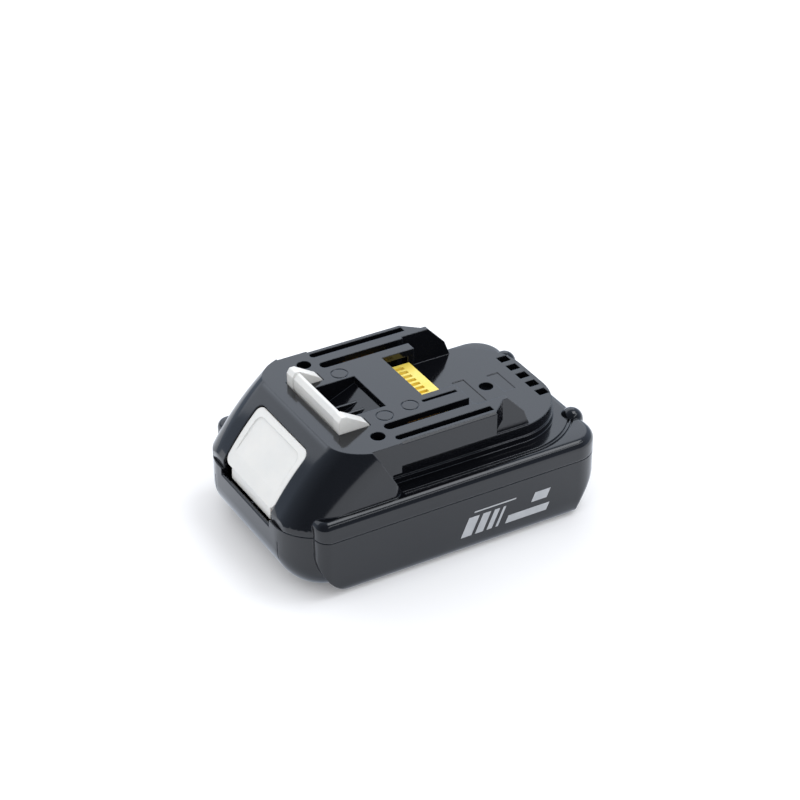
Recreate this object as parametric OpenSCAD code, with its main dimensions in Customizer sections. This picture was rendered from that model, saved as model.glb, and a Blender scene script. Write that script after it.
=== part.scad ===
// Slim slide-on battery pack for cordless tools: five cells in one row, a
// two-part moulded case, and a sprung latch that carries the button and hook.
// X runs along the pack with the button end at -X, Y across it and Z up.
// The origin is at the middle of the underside. Lengths are in millimetres.

/* [Cells and holder] */
// Diameter of one cell
cell_d = 18; // [17.5:0.1:18.6]
// Length of one cell
cell_l = 65; // [62:0.5:68]
// Radial clearance of a cell in its bore
cell_clear = 0.1; // [0.05:0.05:0.3]
// Thinnest web between two neighbouring bores
holder_web = 0.4; // [0.3:0.1:1]
// Wall of the holder outside the bores
holder_skin = 0.9; // [0.7:0.1:1.2]
// Length of each cell end that stands out of the holder
cell_stick_out = 1.5; // [1:0.1:3]
// Thickness of the nickel strips
strip_t = 0.2; // [0.15:0.05:0.3]
// Width of the nickel strips
strip_w = 8; // [6:0.5:10]
// Thickness of the insulating sheets over the strips
sheet_t = 0.4; // [0.2:0.1:0.6]
// Thickness of the foam pads under the holder
pad_t = 1; // [0.6:0.1:1.5]
// Width of one foam pad along the pack
pad_l = 12; // [8:1:16]

/* [Case] */
// Wall of both case mouldings
wall = 2.4; // [2:0.1:2.8]
// Floor of the lower case
floor_t = 2.2; // [1.8:0.1:2.8]
// Room for the latch between the front wall and the holder
latch_bay = 13.8; // [13.5:0.1:16]
// Room between the holder and the rear wall
rear_room = 1.5; // [1.2:0.1:4]
// Room for strips and sheet between a cell end and the side wall
side_room = 2.6; // [2.2:0.1:4]
// Distance that the rear bumpers stand out
bumper_out = 1.5; // [0.5:0.1:3]
// Distance that the side panels stand out of the front body
panel_proud = 2.9; // [1.5:0.1:4]
// Distance from the front face back to the side panels
panel_set = 7.5; // [6:0.1:9]
// Height from the parting line to the shoulder beside the rails
skirt_h = 7.2; // [6.5:0.1:8]
// Height from the shoulder to the deck
deck_step = 5.9; // [5:0.1:6.5]
// Height from the deck to the top of the rails
bay_h = 12.4; // [11.5:0.1:13.5]
// Shadow gap at the parting line
parting_gap = 0.3; // [0.2:0.05:0.5]
// Rise of the parting line across the front
parting_rise = 0.8; // [0.5:0.1:1.5]
// Diameter of the sunk screw holes
screw_hole_d = 4.9; // [4.7:0.1:5.5]
// Distance of the front screws from the middle
screw_y = 24.8; // [24.2:0.1:25.4]

/* [Rails] */
// Width over the two rail lips
rail_w = 64; // [62:0.2:66]
// Height of the lips
lip_t = 8.7; // [8:0.1:9]
// Length of the lips
lip_l = 46.2; // [44:0.2:50]
// Distance from the front face to the lips
lip_set = 29.3; // [28:0.1:31]
// Width over the two rail necks
neck_w = 52.6; // [51:0.1:54]
// Thickness of a rail fin behind the top plate
fin_t = 2; // [1.6:0.1:2.4]
// Length of a rail fin along its top, from the front of the lips
fin_top_l = 53.7; // [51:0.1:56]
// Distance from the front of the lips to the channel
channel_set = 10.9; // [10:0.1:13]
// Thickness of the top plate
plate_t = 2.4; // [2:0.1:2.8]
// Length of the top plate from the front of the lips
plate_l = 43.1; // [41:0.1:45]

/* [Contacts] */
// Width of the power blade slots
blade_slot_w = 3.6; // [3.2:0.1:4]
// Distance of the power blade slots from the outer faces of the rail necks
blade_inset = 4.8; // [4.3:0.1:5.3]
// Distance from the front of the lips to the slots
slot_set = 10.5; // [9.5:0.1:12]
// Width of the coring slots in the lips
core_slot_w = 2.6; // [2:0.1:3]
// Width of the terminal block
block_w = 26; // [24:0.2:27]
// Distance of the terminal block's middle from the pack's middle
block_y = 2.6; // [2:0.1:3.5]
// Length of the terminal block
block_l = 15.4; // [13:0.1:18]
// Depth of the terminal block under the top plate's surface
block_sunk = 4.7; // [4.5:0.1:5.5]
// Pitch of the signal contacts
pin_pitch = 2.67; // [2.54:0.01:2.8]

/* [Latch] */
// Travel of the latch when the button is pressed
latch_travel = 5.8; // [5:0.1:6]
// Clearance round the latch
latch_clear = 0.4; // [0.3:0.05:0.6]
// Height of the hook above the top plate
hook_h = 5.6; // [4.5:0.1:6]
// Width of the hook
hook_w = 35.4; // [33:0.2:37]
// Distance from the front face to the hook
hook_set = 25.5; // [24.5:0.1:26.5]
// Thickness of the hook's bar
hook_t = 2.6; // [2.2:0.1:2.9]
// Width of the button
button_w = 33.2; // [31:0.2:34]
// Thickness of the button's face
button_t = 2.4; // [2:0.1:3]
// Outer diameter of the latch springs
spring_d = 6.4; // [5.5:0.1:7]
// Wire diameter of the latch springs
spring_wire = 0.7; // [0.5:0.1:0.9]
// Turns of each latch spring
spring_turns = 6.5; // [5:0.5:8]

/* [Hidden] */
$fn = 64;
// Depth by which one form sinks into the form that it grows from
sink = 0.01;
// Reach of a cutting tool past the surface that it opens
over = 1;
cell_count = 5;

black = "#1b1d20";
white = "#e9e9e6";
yellow = "#f2c23a";

// Holder and cell row
bore_r = cell_d / 2 + cell_clear;
cell_pitch = 2 * bore_r + holder_web;
holder_r = bore_r + holder_skin;
row_l = (cell_count - 1) * cell_pitch + 2 * holder_r;
axis_z = floor_t + pad_t + holder_r;
holder_w = cell_l - 2 * cell_stick_out;

// Case outline
case_l = bumper_out + 2 * wall + latch_bay + row_l + rear_room;
case_w = cell_l + 2 * (side_room + wall);
front_x = -case_l / 2;
rear_x = case_l / 2 - bumper_out;
core_w = case_w - 2 * panel_proud;
panel_x = front_x + panel_set;
cell_x0 = front_x + wall + latch_bay + holder_r;
function cell_x(i) = cell_x0 + i * cell_pitch;
function valley_x(i) = cell_x(i) + cell_pitch / 2;

// Heights
standoff_h = 1.2;
board_t = 1.6;
part_room = 5.9;
board_z = axis_z + holder_r + standoff_h;
deck_z = board_z + board_t + part_room + wall;
shoulder_z = deck_z - deck_step;
parting_z = shoulder_z - skirt_h;
top_z = deck_z + bay_h;
plate_z = top_z - plate_t;
lip_z = top_z - lip_t;

// Round corners of the case in plan, and of the front slope along its length
front_corner = 15;
brow_corner = 13;
rear_corner = 10;
panel_corner = 4;
// Rolled lower edges: under the front and along its sides, under the front and rear ends of the side
// panels and along them
front_roll = 14;
core_roll = 8;
end_roll = [16, 15];
side_roll = 4;
// Rolled upper edge of the side panels
panel_roll = 3;
// Fine upright lines near the front corners: depth, width and height
corner_line = [0.7, 0.4, 7];
corner_line_y = 22;
corner_line_z = 9.8;
// Tongue of the lower case inside the upper one
tongue_t = 1.1;
tongue_h = 2;
tongue_clear = 0.15;

// Rails and top plate
lip_x = front_x + lip_set;
lip_end = lip_x + lip_l;
plate_end = lip_x + plate_l;
channel_x = lip_x + channel_set;
slot_x = lip_x + slot_set;
lip_chamfer = 0.7;
lip_cut = (rail_w - neck_w) / 2;
fin_knee_set = [6.5, 5.5];
fin_foot_set = 8.6;
fin_end = lip_x + fin_top_l + fin_foot_set;
fin_knee = [lip_x + fin_top_l, deck_z] + fin_knee_set;
deck_ledge = 0.7;
deck_w = neck_w + 2 * deck_ledge;
deck_r = 20;
deck_back = 5.3;
deck_end = rear_x - deck_back;
plinth_h = 2.1;
plinth_out = 0.6;
rim_gap = 5.6;
rim_line = [0.6, 0.5];

lip_lead = 0.9;
catch_l = 3.2;
catch_h = 7;
core_slot_in = 0.5;
core_slot_y = (rail_w + neck_w) / 4 - core_slot_in;
blade_slot_y = neck_w / 2 - blade_inset;
core_slot_h = 6.2;
blade_sill = 1.7;
charge_slot_w = 1.4;
charge_slot_l = 14.4;
charge_slot_y = -14;
pocket_l = 12.4;
pocket_x = plate_end - pocket_l;
block_clear = 0.2;
block_back = 2;
block_x1 = plate_end - block_back;
block_z = top_z - block_sunk;
vent_side = 2;
vent_pitch = 6;
vent_set = 3.4;
vent_size = [3.8, 3.5];
bumper_r = 4;
bumper_y = 21;
bumper_up = 1.8;
bumper_h = shoulder_z + bumper_up - parting_z;

// Bare fields on the deck and ring marks on the top plate
mark_depth = 0.25;
field_set = [9.9, 14.2];
field_x = [plate_end + field_set[0], deck_end - field_set[1]];
field_size = [[4.6, 15.2], [4.4, 11.4]];
ring_d = 6;
ring_w = 0.4;
ring_set = [[13.8, 14.2], [14.1, -15.4], [24.2, -14.1]];

// Front housing
foot_lean = 0.5;
foot_set = [1, 3.8];
foot = [front_x, parting_z] + foot_set;
brow_set = 19.4;
brow = [front_x + brow_set, top_z];
brow_bulge = 1.1;
housing_rear_x = channel_x - parting_gap;
slope_angle = atan2(brow[1] - foot[1], brow[0] - foot[0]);
slope_out = [-sin(slope_angle), cos(slope_angle)];
slope_facets = 256;
corner_facets = 48;
slope_r = pow(norm(brow - foot), 2) / (8 * brow_bulge) + brow_bulge / 2;

// A point of the bowed front slope: t runs from the foot to the brow and inset
// is measured square to the chord.
function slope(t, inset = 0) =
    foot + t * (brow - foot) + (4 * t * (1 - t) * brow_bulge - inset) * slope_out;

// Button and hook
button_t0 = 0.01;
button_t1 = 0.79;
button_sunk = 0.3;
button_r = 3;
hook_x = front_x + hook_set;
hook_top = top_z + hook_h;
prong_w = 4;
prong_l = 11;
prong_proud = 0.4;
prong_brow = [1, 1.6];
prong_tip = [1, 1.2];
hook_lean = [1, 1.6];
pit_w = 21;
pit_wall = 1.5;
pit_x0 = hook_x + hook_t + latch_clear + pit_wall;
pit_l = 16.6;
pit_x1 = pit_x0 + pit_l;
pit_depth = [10, 2.7];
pit_floor = [top_z - pit_depth[0], top_z - pit_depth[1]];

latch_room = [latch_clear, latch_clear];
pit_rib_y = 2.45;
pit_rib_t = 0.9;
pit_rib_set = [3, 3.6];
pit_rib_x = [pit_x0 + pit_rib_set[0], pit_x1 - pit_rib_set[1]];
pit_rib_depth = 4.2;
pit_rib_z = top_z - pit_rib_depth;

// Front wall below the button: thinned from inside so that the button can pass behind it
button_back = button_sunk + button_t;
apron_h = 5.5;
apron_sunk = 0.8;
notch_w = button_w + 2 * latch_clear;
notch_drop = 1.4;
notch_z = parting_z - notch_drop;
notch_chamfer = 0.5;
notch_x = slope(button_t0, button_sunk)[0] - latch_clear;
notch_floor = slope(button_t0, button_sunk)[1] - apron_h - latch_travel - latch_clear;

// Point on the floor of the pit, raised by lift.
function pit_at(x, lift) =
    [x, lift + pit_floor[0] + (pit_floor[1] - pit_floor[0]) * (x - pit_x0) / (pit_x1 - pit_x0)];

// Springs and their shelf
shelf_l = [5.4, 3.6];
spring_x = slope(button_t0, button_back)[0] + shelf_l[0];
spring_y = 8;
seat_d = 7.4;
seat_rise = 4.2;
seat_z = floor_t + seat_rise;
post_d = 4;
post_h = 5;
seat_post_h = 3;
shelf_z = parting_z;
shelf_t = 2;
shelf_side = 5;
spring_gap = 0.05;
spring_rings = 8;
spring_sides = 6;

// Latch frame
web_top = plate_z - latch_clear;
web_t = 3;
latch_rib_t = 2.4;
latch_rib_y = 11;
latch_rib_h = 9;
latch_rib_sink = 1;
// Share of the slope by which the ribs and the apron stay inside the button's ends
latch_rib_at = [0.18, 0.06];
apron_at = [0.03, 0.05];
dish = [2.6, 0.4];

// Cell ends
cap_h = 0.9;
cap_r = 4.2;
can_chamfer = 0.4;
crimp_set = 4;
crimp_w = 1.2;
crimp_depth = 0.7;

// Holder
band_cut = 2.2;
standoff_d = 4;
standoff_y = 18;
window = [10, 16];
window_y = 4;

// Strips, sheets and pads
strip_r = 1;
tab_w = 4;
sheet_gap = 0.2;
sheet_margin = 1;
pad_w = 48;
pad_r = 1;
pad_cells = [0, 2, 3];
pad_gap = 0.05;

// Board
board_clear = 0.6;
board_x = housing_rear_x + wall / 2;
tongue_reach = 5;
tongue_x = cell_x(0) - tongue_reach;
tongue_w = 36;
tab_inset = 1.5;
board_top = board_z + board_t;
board_w = deck_w - 2 * (wall + board_clear);
plug_clear = 0.1;
plug_sunk = 1.6;

// Power contacts
clip_set = 11;
clip_l = 12;
clip_x = [slot_x + clip_set, slot_x + clip_set + clip_l];
clip_t = 0.7;
clip_w = 3.4;
clip_pinch = 0.7;
clip_bend = [4, 1.5];
clip_drop = 3;
clip_top = plate_z - clip_drop;

// Terminal block
block_x0 = block_x1 - block_l;
pin_count = 9;
pin_slot_w = 1.5;
pin_slot_h = 1.4;
pin_apron = 3.4;
pin_lead = 0.6;
pin_t = 0.4;
pin_h = 1.1;

// Parts on the board: [x from the board's front edge, y, length, width, height]
chips = [
    [36, -13, 10, 9, 2.4], [36, 13, 10, 9, 2.4], [44, 0, 7, 7, 1.2],
    [56, -9, 6, 4, 1.8], [56, 9, 6, 4, 1.8]
];
capacitor = [60, 0, 5, 4.6];
bead_r = 0.9;
lead_d = 0.4;

// Screws
screw_seat = 2.4;
screw_head = [4.4, 2];
screw_shank = [2.5, 9.4];
screw_clear = 0.2;
boss_wall = 1.5;
boss_gap = 0.2;
boss_d = screw_shank[0] + 2 * boss_wall;
front_boss_z = board_z + board_t;
rear_boss_up = 1.3;
rear_boss_z = front_boss_z + rear_boss_up;
screw_places = [
    [valley_x(0), -screw_y, front_boss_z],
    [valley_x(0), screw_y, front_boss_z],
    [valley_x(3), 0, rear_boss_z]
];

// Extrudes an XZ outline from y0 to y1.
module along_y(y0, y1) {
    translate([0, y1, 0]) rotate([90, 0, 0]) linear_extrude(y1 - y0) children();
}

// Extrudes a YZ outline from x0 to x1.
module along_x(x0, x1) {
    translate([x0, 0, 0]) rotate([90, 0, 90]) linear_extrude(x1 - x0) children();
}

// Draws its children on both sides of the pack.
module both_sides() {
    children();
    mirror([0, 1, 0]) children();
}

// Box between two corners.
module box(low, high) {
    translate(low) cube(high - low);
}

// Rectangle with round corners, centred on the origin.
module round_rect(size, r) {
    plan(-size[0] / 2, size[0] / 2, size[1] / 2, r, r);
}

// Slot along X with a round front end.
module slot_plan(x0, x1, w) {
    translate([x0 + w / 2, 0]) circle(w / 2);
    translate([x0 + w / 2, -w / 2]) square([x1 - x0 - w / 2, w]);
}

// Plan with its own front and rear corner radii.
module plan(x0, x1, hw, front_r, rear_r) {
    polygon([
        [x0, front_r - hw], [x0 + front_r, -hw], [x1 - rear_r, -hw], [x1, rear_r - hw],
        [x1, hw - rear_r], [x1 - rear_r, hw], [x0 + front_r, hw], [x0, hw - front_r]
    ]);
    for (side = [-1, 1]) {
        translate([x0 + front_r, side * (hw - front_r)]) circle(front_r);
        translate([x1 - rear_r, side * (hw - rear_r)]) circle(rear_r);
    }
}

// Plan of the narrow front body, or of its hollow when inset is the wall.
module core_plan(inset = 0) {
    plan(front_x + inset, housing_rear_x - inset, core_w / 2 - inset, front_corner - inset, panel_corner);
}

// Plan over the side panels, or of their hollow.
module panel_plan(inset = 0) {
    plan(panel_x + inset, rear_x - inset, case_w / 2 - inset, panel_corner, rear_corner - inset);
}

// Plan of the whole case, or of its hollow.
module case_plan(inset = 0) {
    core_plan(inset);
    panel_plan(inset);
}

// Body with the plan of its child and rolled edges at one level, seen from the front and from the side.
// roll_x holds the front and the rear roll. The rolled level is z, and up is 1 when the body stands on
// it or -1 when it hangs below it.
module rolled_body(x0, x1, hw, roll_x, roll_y, z, up) {
    mid = z + up * top_z;
    intersection() {
        translate([0, 0, z - (up > 0 ? 0 : 2 * top_z)]) linear_extrude(2 * top_z) children();
        along_y(-case_w, case_w) translate([0, mid]) plan(x0, x1, top_z, roll_x[0], roll_x[1]);
        along_x(2 * front_x, -2 * front_x) translate([0, mid]) round_rect([2 * hw, 2 * top_z], roll_y);
    }
}

// Half section of the upper side panels, from the middle out to their rolled edge.
module panel_edge(reach) {
    square([reach, shoulder_z - panel_roll]);
    square([reach - panel_roll, shoulder_z]);
    translate([reach - panel_roll, shoulder_z - panel_roll]) intersection() {
        circle(panel_roll);
        square(panel_roll);
    }
}

// Upper side panels and rear wall, drawn solid, with a rolled edge that runs round the corners.
module rolled_panel() {
    hw = case_w / 2;
    front = panel_x + panel_corner;
    rear = rear_x - rear_corner;
    both_sides() {
        along_x(front, rear) panel_edge(hw);
        translate([rear, hw - rear_corner, 0]) rotate_extrude() panel_edge(rear_corner);
        translate([front, hw - panel_corner, 0]) rotate_extrude() panel_edge(panel_corner);
    }
    along_y(rear_corner - hw, hw - rear_corner) translate([rear, 0]) panel_edge(rear_corner);
    along_y(panel_corner - hw, hw - panel_corner) translate([front, 0]) mirror([1, 0]) panel_edge(panel_corner);
}

// Front housing, or its hollow: a bowed slope that turns round its corners into the sides.
module housing(inset = 0) {
    foot_in = slope(0, inset);
    centre = slope(0.5) - slope_r * slope_out;
    intersection() {
        linear_extrude(top_z - inset) core_plan(inset);
        along_y(-case_w, case_w) polygon([
            [foot_in[0] - foot_lean, 0], [housing_rear_x - inset, 0],
            [housing_rear_x - inset, shoulder_z], [lip_x - inset, top_z], slope(1, inset),
            slope(0.5, inset - brow_bulge - over), foot_in
        ]);
        translate([centre[0], 0, centre[1]]) rotate([90, 0, 0]) rotate_extrude($fn = slope_facets)
            let ($fn = corner_facets)
                plan(over, slope_r - inset, core_w / 2 - inset, over, brow_corner - inset);
    }
}

// Plan of the deck, or of a band outside or inside it.
module deck_plan(x0, grow = 0) {
    r = deck_r + grow;
    side = deck_w / 2 + grow;
    x1 = deck_end - deck_r;
    translate([x0, -side]) square([x1 - x0, 2 * side]);
    translate([x1, r - side]) square([r, 2 * (side - r)]);
    for (sy = [-1, 1]) translate([x1, sy * (side - r)]) intersection() {
        circle(r);
        translate([0, -r]) square([r, 2 * r]);
    }
}

// Solid that the lower case fills below the parting line.
module below_parting(gap) {
    z = parting_z - gap;
    along_y(-case_w, case_w) polygon([
        [front_x - over, -2 * top_z], [rear_x + case_w, -2 * top_z], [rear_x + case_w, z],
        [panel_x + panel_corner, z], [panel_x, z + parting_rise], [front_x - over, z + parting_rise]
    ]);
}

// Outer form of the lower case, or its hollow when inset is the wall.
module lower_form(inset = 0, z = 0) {
    rolled_body(front_x + inset, housing_rear_x + case_w, core_w / 2 - inset, [1, 1] * (front_roll - inset),
        core_roll - inset, z, 1) core_plan(inset);
    rolled_body(panel_x + inset, rear_x - inset, case_w / 2 - inset, end_roll - [1, 1] * inset,
        side_roll - inset, z, 1) panel_plan(inset);
}

// Lower case: a tub with a tongue round its rim, a front wall that is low and thin under the
// button, and spring seats on its floor.
module lower_case() {
    color(black) {
        difference() {
            union() {
                intersection() {
                    lower_form();
                    below_parting(0);
                }
                translate([0, 0, parting_z - tongue_h]) linear_extrude(2 * tongue_h)
                    case_plan(wall - tongue_t);
            }
            lower_form(wall, floor_t);
            along_y(-notch_w / 2, notch_w / 2) polygon([
                [notch_x, notch_floor], [front_x + wall + over, notch_floor], [front_x + wall + over, top_z],
                [front_x - over, top_z], [front_x - over, notch_z - notch_chamfer - over],
                [front_x + notch_chamfer, notch_z], [notch_x, notch_z]
            ]);
            for (y = [-corner_line_y, corner_line_y])
                box([front_x - over, y - corner_line[1] / 2, corner_line_z],
                    [front_x + corner_line[0], y + corner_line[1] / 2, corner_line_z + corner_line[2]]);
        }
        for (side = [-1, 1]) intersection() {
            lower_form();
            translate([spring_x, side * spring_y, 0]) {
                cylinder(d = seat_d, h = seat_z);
                cylinder(d = post_d, h = seat_z + post_h);
            }
        }
    }
}

// Upright fin behind one rail neck.
module fin() {
    along_y(neck_w / 2 - fin_t, neck_w / 2) polygon([
        [plate_end - over, deck_z - over], [fin_end, deck_z - over], [fin_end, deck_z],
        fin_knee, [lip_x + fin_top_l, top_z], [plate_end - over, top_z]
    ]);
}

// Rail lip on one side, with its slanted rear end.
module lip() {
    y0 = neck_w / 2 - fin_t;
    y1 = rail_w / 2;
    along_x(lip_x, lip_end) polygon([
        [y0, lip_z], [y1, lip_z], [y1, top_z - lip_chamfer], [y1 - lip_chamfer, top_z], [y0, top_z]
    ]);
    translate([0, 0, lip_z + lip_lead]) linear_extrude(lip_t - lip_lead)
        polygon([[lip_end - over, y0], [lip_end - over, y1 - lip_chamfer], [lip_end, y1 - lip_chamfer],
            [lip_end + lip_cut, neck_w / 2], [lip_end + lip_cut, y0]]);
}

// Corner block that closes one rail channel at its front.
module channel_end() {
    y0 = neck_w / 2 - fin_t;
    difference() {
        box([lip_x, y0, shoulder_z - wall], [channel_x, rail_w / 2, top_z]);
        box([channel_x - catch_l, neck_w / 2, shoulder_z], [channel_x + over, rail_w, shoulder_z + catch_h]);
    }
}

// Everything that the upper case fills, before it is hollowed.
module upper_form() {
    difference() {
        union() {
            housing();
            rolled_panel();
        }
        below_parting(-parting_gap);
    }
    translate([0, 0, shoulder_z - wall]) {
        linear_extrude(deck_step + wall) deck_plan(channel_x - over);
        linear_extrude(plinth_h + wall) deck_plan(channel_x - over, plinth_out);
    }
    box([lip_x, -neck_w / 2, deck_z - wall], [plate_end, neck_w / 2, top_z]);
    both_sides() {
        lip();
        fin();
        channel_end();
    }
    for (y = [-bumper_y, bumper_y]) translate([rear_x + bumper_out - bumper_r, y, parting_z + parting_gap]) {
        cylinder(r = bumper_r, h = bumper_h - bumper_r);
        translate([0, 0, bumper_h - bumper_r]) sphere(bumper_r);
    }
}

// Room inside the upper case.
module upper_hollow() {
    housing(wall);
    translate([0, 0, -over]) linear_extrude(shoulder_z - wall + over) panel_plan(wall);
    translate([0, 0, -over]) linear_extrude(parting_z + tongue_h + 2 * tongue_clear + over)
        case_plan(wall - tongue_t - tongue_clear);
    translate([0, 0, parting_z]) linear_extrude(deck_z - wall - parting_z) deck_plan(housing_rear_x, -wall);
    box([lip_x - wall, -neck_w / 2 + wall, parting_z], [plate_end - wall, neck_w / 2 - wall, plate_z]);
}

// Pocket behind the hook, drawn solid and grown by the wall when it is lined.
module pit(grow = 0) {
    along_y(-pit_w / 2 - grow, pit_w / 2 + grow) polygon([
        [pit_x0 - grow, top_z - sink + (grow > 0 ? 0 : over)],
        [pit_x1 + grow, top_z - sink + (grow > 0 ? 0 : over)],
        [pit_x1 + grow, pit_floor[1] - grow], [pit_x0 - grow, pit_floor[0] - grow]
    ]);
}

// Linings and bosses that hang inside the upper case.
module upper_linings() {
    pit(pit_wall);
    for (p = screw_places) let (z = p[2] + boss_gap) translate([p[0], p[1], z])
        cylinder(d = screw_hole_d + 2 * boss_wall, h = (p[1] == 0 ? deck_z : top_z) - z - sink);
}

// Slots, holes and pockets that open the upper case from outside.
module upper_openings() {
    pit();
    for (p = screw_places) translate([p[0], p[1], 0]) {
        translate([0, 0, p[2] + boss_gap + screw_seat]) cylinder(d = screw_hole_d, h = top_z);
        cylinder(d = screw_shank[0] + 2 * screw_clear, h = top_z);
    }
    both_sides() {
        translate([0, blade_slot_y, deck_z + blade_sill]) linear_extrude(top_z)
            slot_plan(slot_x, plate_end + over, blade_slot_w);
        translate([0, core_slot_y, top_z - core_slot_h]) linear_extrude(top_z)
            slot_plan(slot_x, lip_end, core_slot_w);
        translate([0, (hook_w - prong_w) / 2, plate_z - over]) linear_extrude(top_z)
            translate([hook_x + prong_l / 2, 0]) square([prong_l, prong_w] + 2 * latch_room, center = true);
    }
    box([hook_x, -hook_w / 2, plate_z - over] - [latch_clear, latch_clear, 0],
        [hook_x + hook_t + latch_clear, hook_w / 2 + latch_clear, top_z + over]);
    translate([0, charge_slot_y, plate_z - over]) linear_extrude(top_z)
        slot_plan(plate_end - charge_slot_l, plate_end - charge_slot_w, charge_slot_w);
    box([pocket_x, block_y - block_w / 2 - block_clear, deck_z],
        [plate_end + over, block_y + block_w / 2 + block_clear, top_z + over]);
    box([pocket_x, block_y - block_w / 2 - block_clear, deck_z - wall - over],
        [block_x1 + block_clear, block_y + block_w / 2 + block_clear, deck_z + over]);
    button_prism(button_r, latch_clear, 3 * wall, wall, 4 * wall);
    for (i = [-vent_side : vent_side]) translate([deck_end - vent_set, i * vent_pitch, deck_z - wall - over])
        linear_extrude(wall + 2 * over) square(vent_size, center = true);
    for (d = [0 : 1]) translate([0, 0, shoulder_z - rim_line[1]]) linear_extrude(rim_line[1] + sink)
    difference() {
        deck_plan(channel_x, rim_gap + (2 * d + 1) * rim_line[0]);
        deck_plan(channel_x - over, rim_gap + 2 * d * rim_line[0]);
    }
    for (i = [0 : 1]) translate([field_x[i] + field_size[i][0] / 2, 0, deck_z - mark_depth])
        linear_extrude(over) square(field_size[i], center = true);
    for (p = ring_set) translate([lip_x + p[0], p[1], top_z - mark_depth]) linear_extrude(over) difference() {
        circle(d = ring_d);
        circle(d = ring_d - 2 * ring_w);
    }
}

// Upper case: one moulding with the front housing, the rails, the deck and the top plate.
module upper_case() {
    color(black) {
        difference() {
            union() {
                difference() {
                    upper_form();
                    upper_hollow();
                }
                upper_linings();
            }
            upper_openings();
        }
        for (y = [-pit_rib_y, pit_rib_y]) along_y(y - pit_rib_t / 2, y + pit_rib_t / 2)
            polygon([pit_at(pit_rib_x[0], -pit_wall / 2), pit_at(pit_rib_x[1], -pit_wall / 2),
                [pit_rib_x[1], pit_rib_z], [pit_rib_x[0], pit_rib_z]]);
    }
}

// Prism square to the front slope with the button's outline, grown all round by
// grow and drawn out by extend at its lower end.
module button_prism(r, grow, below, above, extend = 0) {
    p = slope((button_t0 + button_t1) / 2);
    span = (button_t1 - button_t0) * norm(brow - foot);
    translate([p[0], 0, p[1]]) rotate([0, -slope_angle, 0]) translate([-extend / 2, 0, -below])
        linear_extrude(below + above) round_rect([span + extend, button_w] + [2, 2] * grow, r);
}

// Latch: button, hook and spring shelf in one white moulding.
module latch() {
    back = button_back;
    color(white) difference() {
        union() {
            intersection() {
                along_y(-button_w / 2, button_w / 2) translate(slope(0.5) - slope_r * slope_out)
                    difference() {
                        circle(slope_r - button_sunk, $fn = slope_facets);
                        circle(slope_r - back, $fn = slope_facets);
                    }
                button_prism(button_r, 0, 3 * wall, wall);
            }
            along_y(-button_w / 2 + button_r, button_w / 2 - button_r) polygon([
                slope(button_t0 + apron_at[0], button_sunk + apron_sunk),
                [slope(button_t0, button_sunk)[0] + apron_sunk, slope(button_t0, button_sunk)[1] - apron_h],
                [slope(button_t0, back)[0], slope(button_t0, button_sunk)[1] - apron_h],
                slope(button_t0 + apron_at[1], back - sink)
            ]);
            for (y = [-latch_rib_y, latch_rib_y]) along_y(y - latch_rib_t / 2, y + latch_rib_t / 2)
                polygon([
                    slope(button_t0 + latch_rib_at[0], back - latch_rib_sink),
                    slope(button_t1 - latch_rib_at[1], back - latch_rib_sink), [hook_x, web_top],
                    [hook_x + hook_t, web_top], [hook_x + hook_t, web_top - web_t],
                    [spring_x + shelf_l[1], shelf_z + latch_rib_h], [spring_x + shelf_l[1], shelf_z],
                    [spring_x - shelf_l[0], shelf_z]
                ]);
            box([spring_x - shelf_l[0], -spring_y - shelf_side, shelf_z],
                [spring_x + shelf_l[1], spring_y + shelf_side, shelf_z + shelf_t]);
            box([hook_x + prong_proud, -hook_w / 2, web_top - web_t], [hook_x + hook_t, hook_w / 2, top_z]);
            hook_bar();
            both_sides() prong();
            for (side = [-1, 1]) translate([spring_x, side * spring_y, shelf_z - seat_post_h])
                cylinder(d = post_d, h = seat_post_h + sink);
        }
        button_dish();
    }
}

// Shallow finger dish in the button's face.
module button_dish() {
    p = slope((button_t0 + button_t1) / 2, button_sunk + dish[1]);
    span = (button_t1 - button_t0) * norm(brow - foot);
    translate([p[0], 0, p[1]]) rotate([0, -slope_angle, 0])
        linear_extrude(2 * wall) round_rect([span, button_w] - [2, 2] * dish[0], button_r);
}

// Cross bar of the hook, with a leaning front.
module hook_bar() {
    x0 = hook_x + prong_proud;
    x1 = hook_x + hook_t;
    along_y(-hook_w / 2 + prong_w - sink, hook_w / 2 - prong_w + sink) polygon([
        [x0, top_z - sink], [x1, top_z - sink], [x1, hook_top - prong_proud],
        [x1 - hook_lean[0], hook_top - prong_proud], [x0, hook_top - prong_proud - hook_lean[1]]
    ]);
}

// End prong of the hook, sloping down to a thin tip.
module prong() {
    along_y(hook_w / 2 - prong_w, hook_w / 2) polygon([
        [hook_x, web_top - web_t], [hook_x + prong_l, web_top - web_t], [hook_x + prong_l, top_z],
        [hook_x + prong_l, top_z] + [-prong_tip[0], prong_tip[1]], [hook_x + hook_t, hook_top],
        [hook_x + prong_brow[0], hook_top], [hook_x, hook_top - prong_brow[1]]
    ]);
}

// Centre line of a latch spring at turn u.
function coil(u) = let (r = (spring_d - spring_wire) / 2, z0 = seat_z + spring_gap + spring_wire / 2,
    z1 = shelf_z - spring_gap - spring_wire / 2)
    [r * cos(360 * u), r * sin(360 * u), z0 + (z1 - z0) * u / spring_turns];

spring_line = [for (i = [0 : spring_rings * spring_turns]) coil(i / spring_rings)];
spring_free = min([for (i = [0 : len(spring_line) - 1], j = [i + spring_rings / 2 : 1 : len(spring_line) - 1])
    norm(spring_line[i] - spring_line[j])]) - spring_wire;
echo(spring_least_gap = spring_free);

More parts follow.
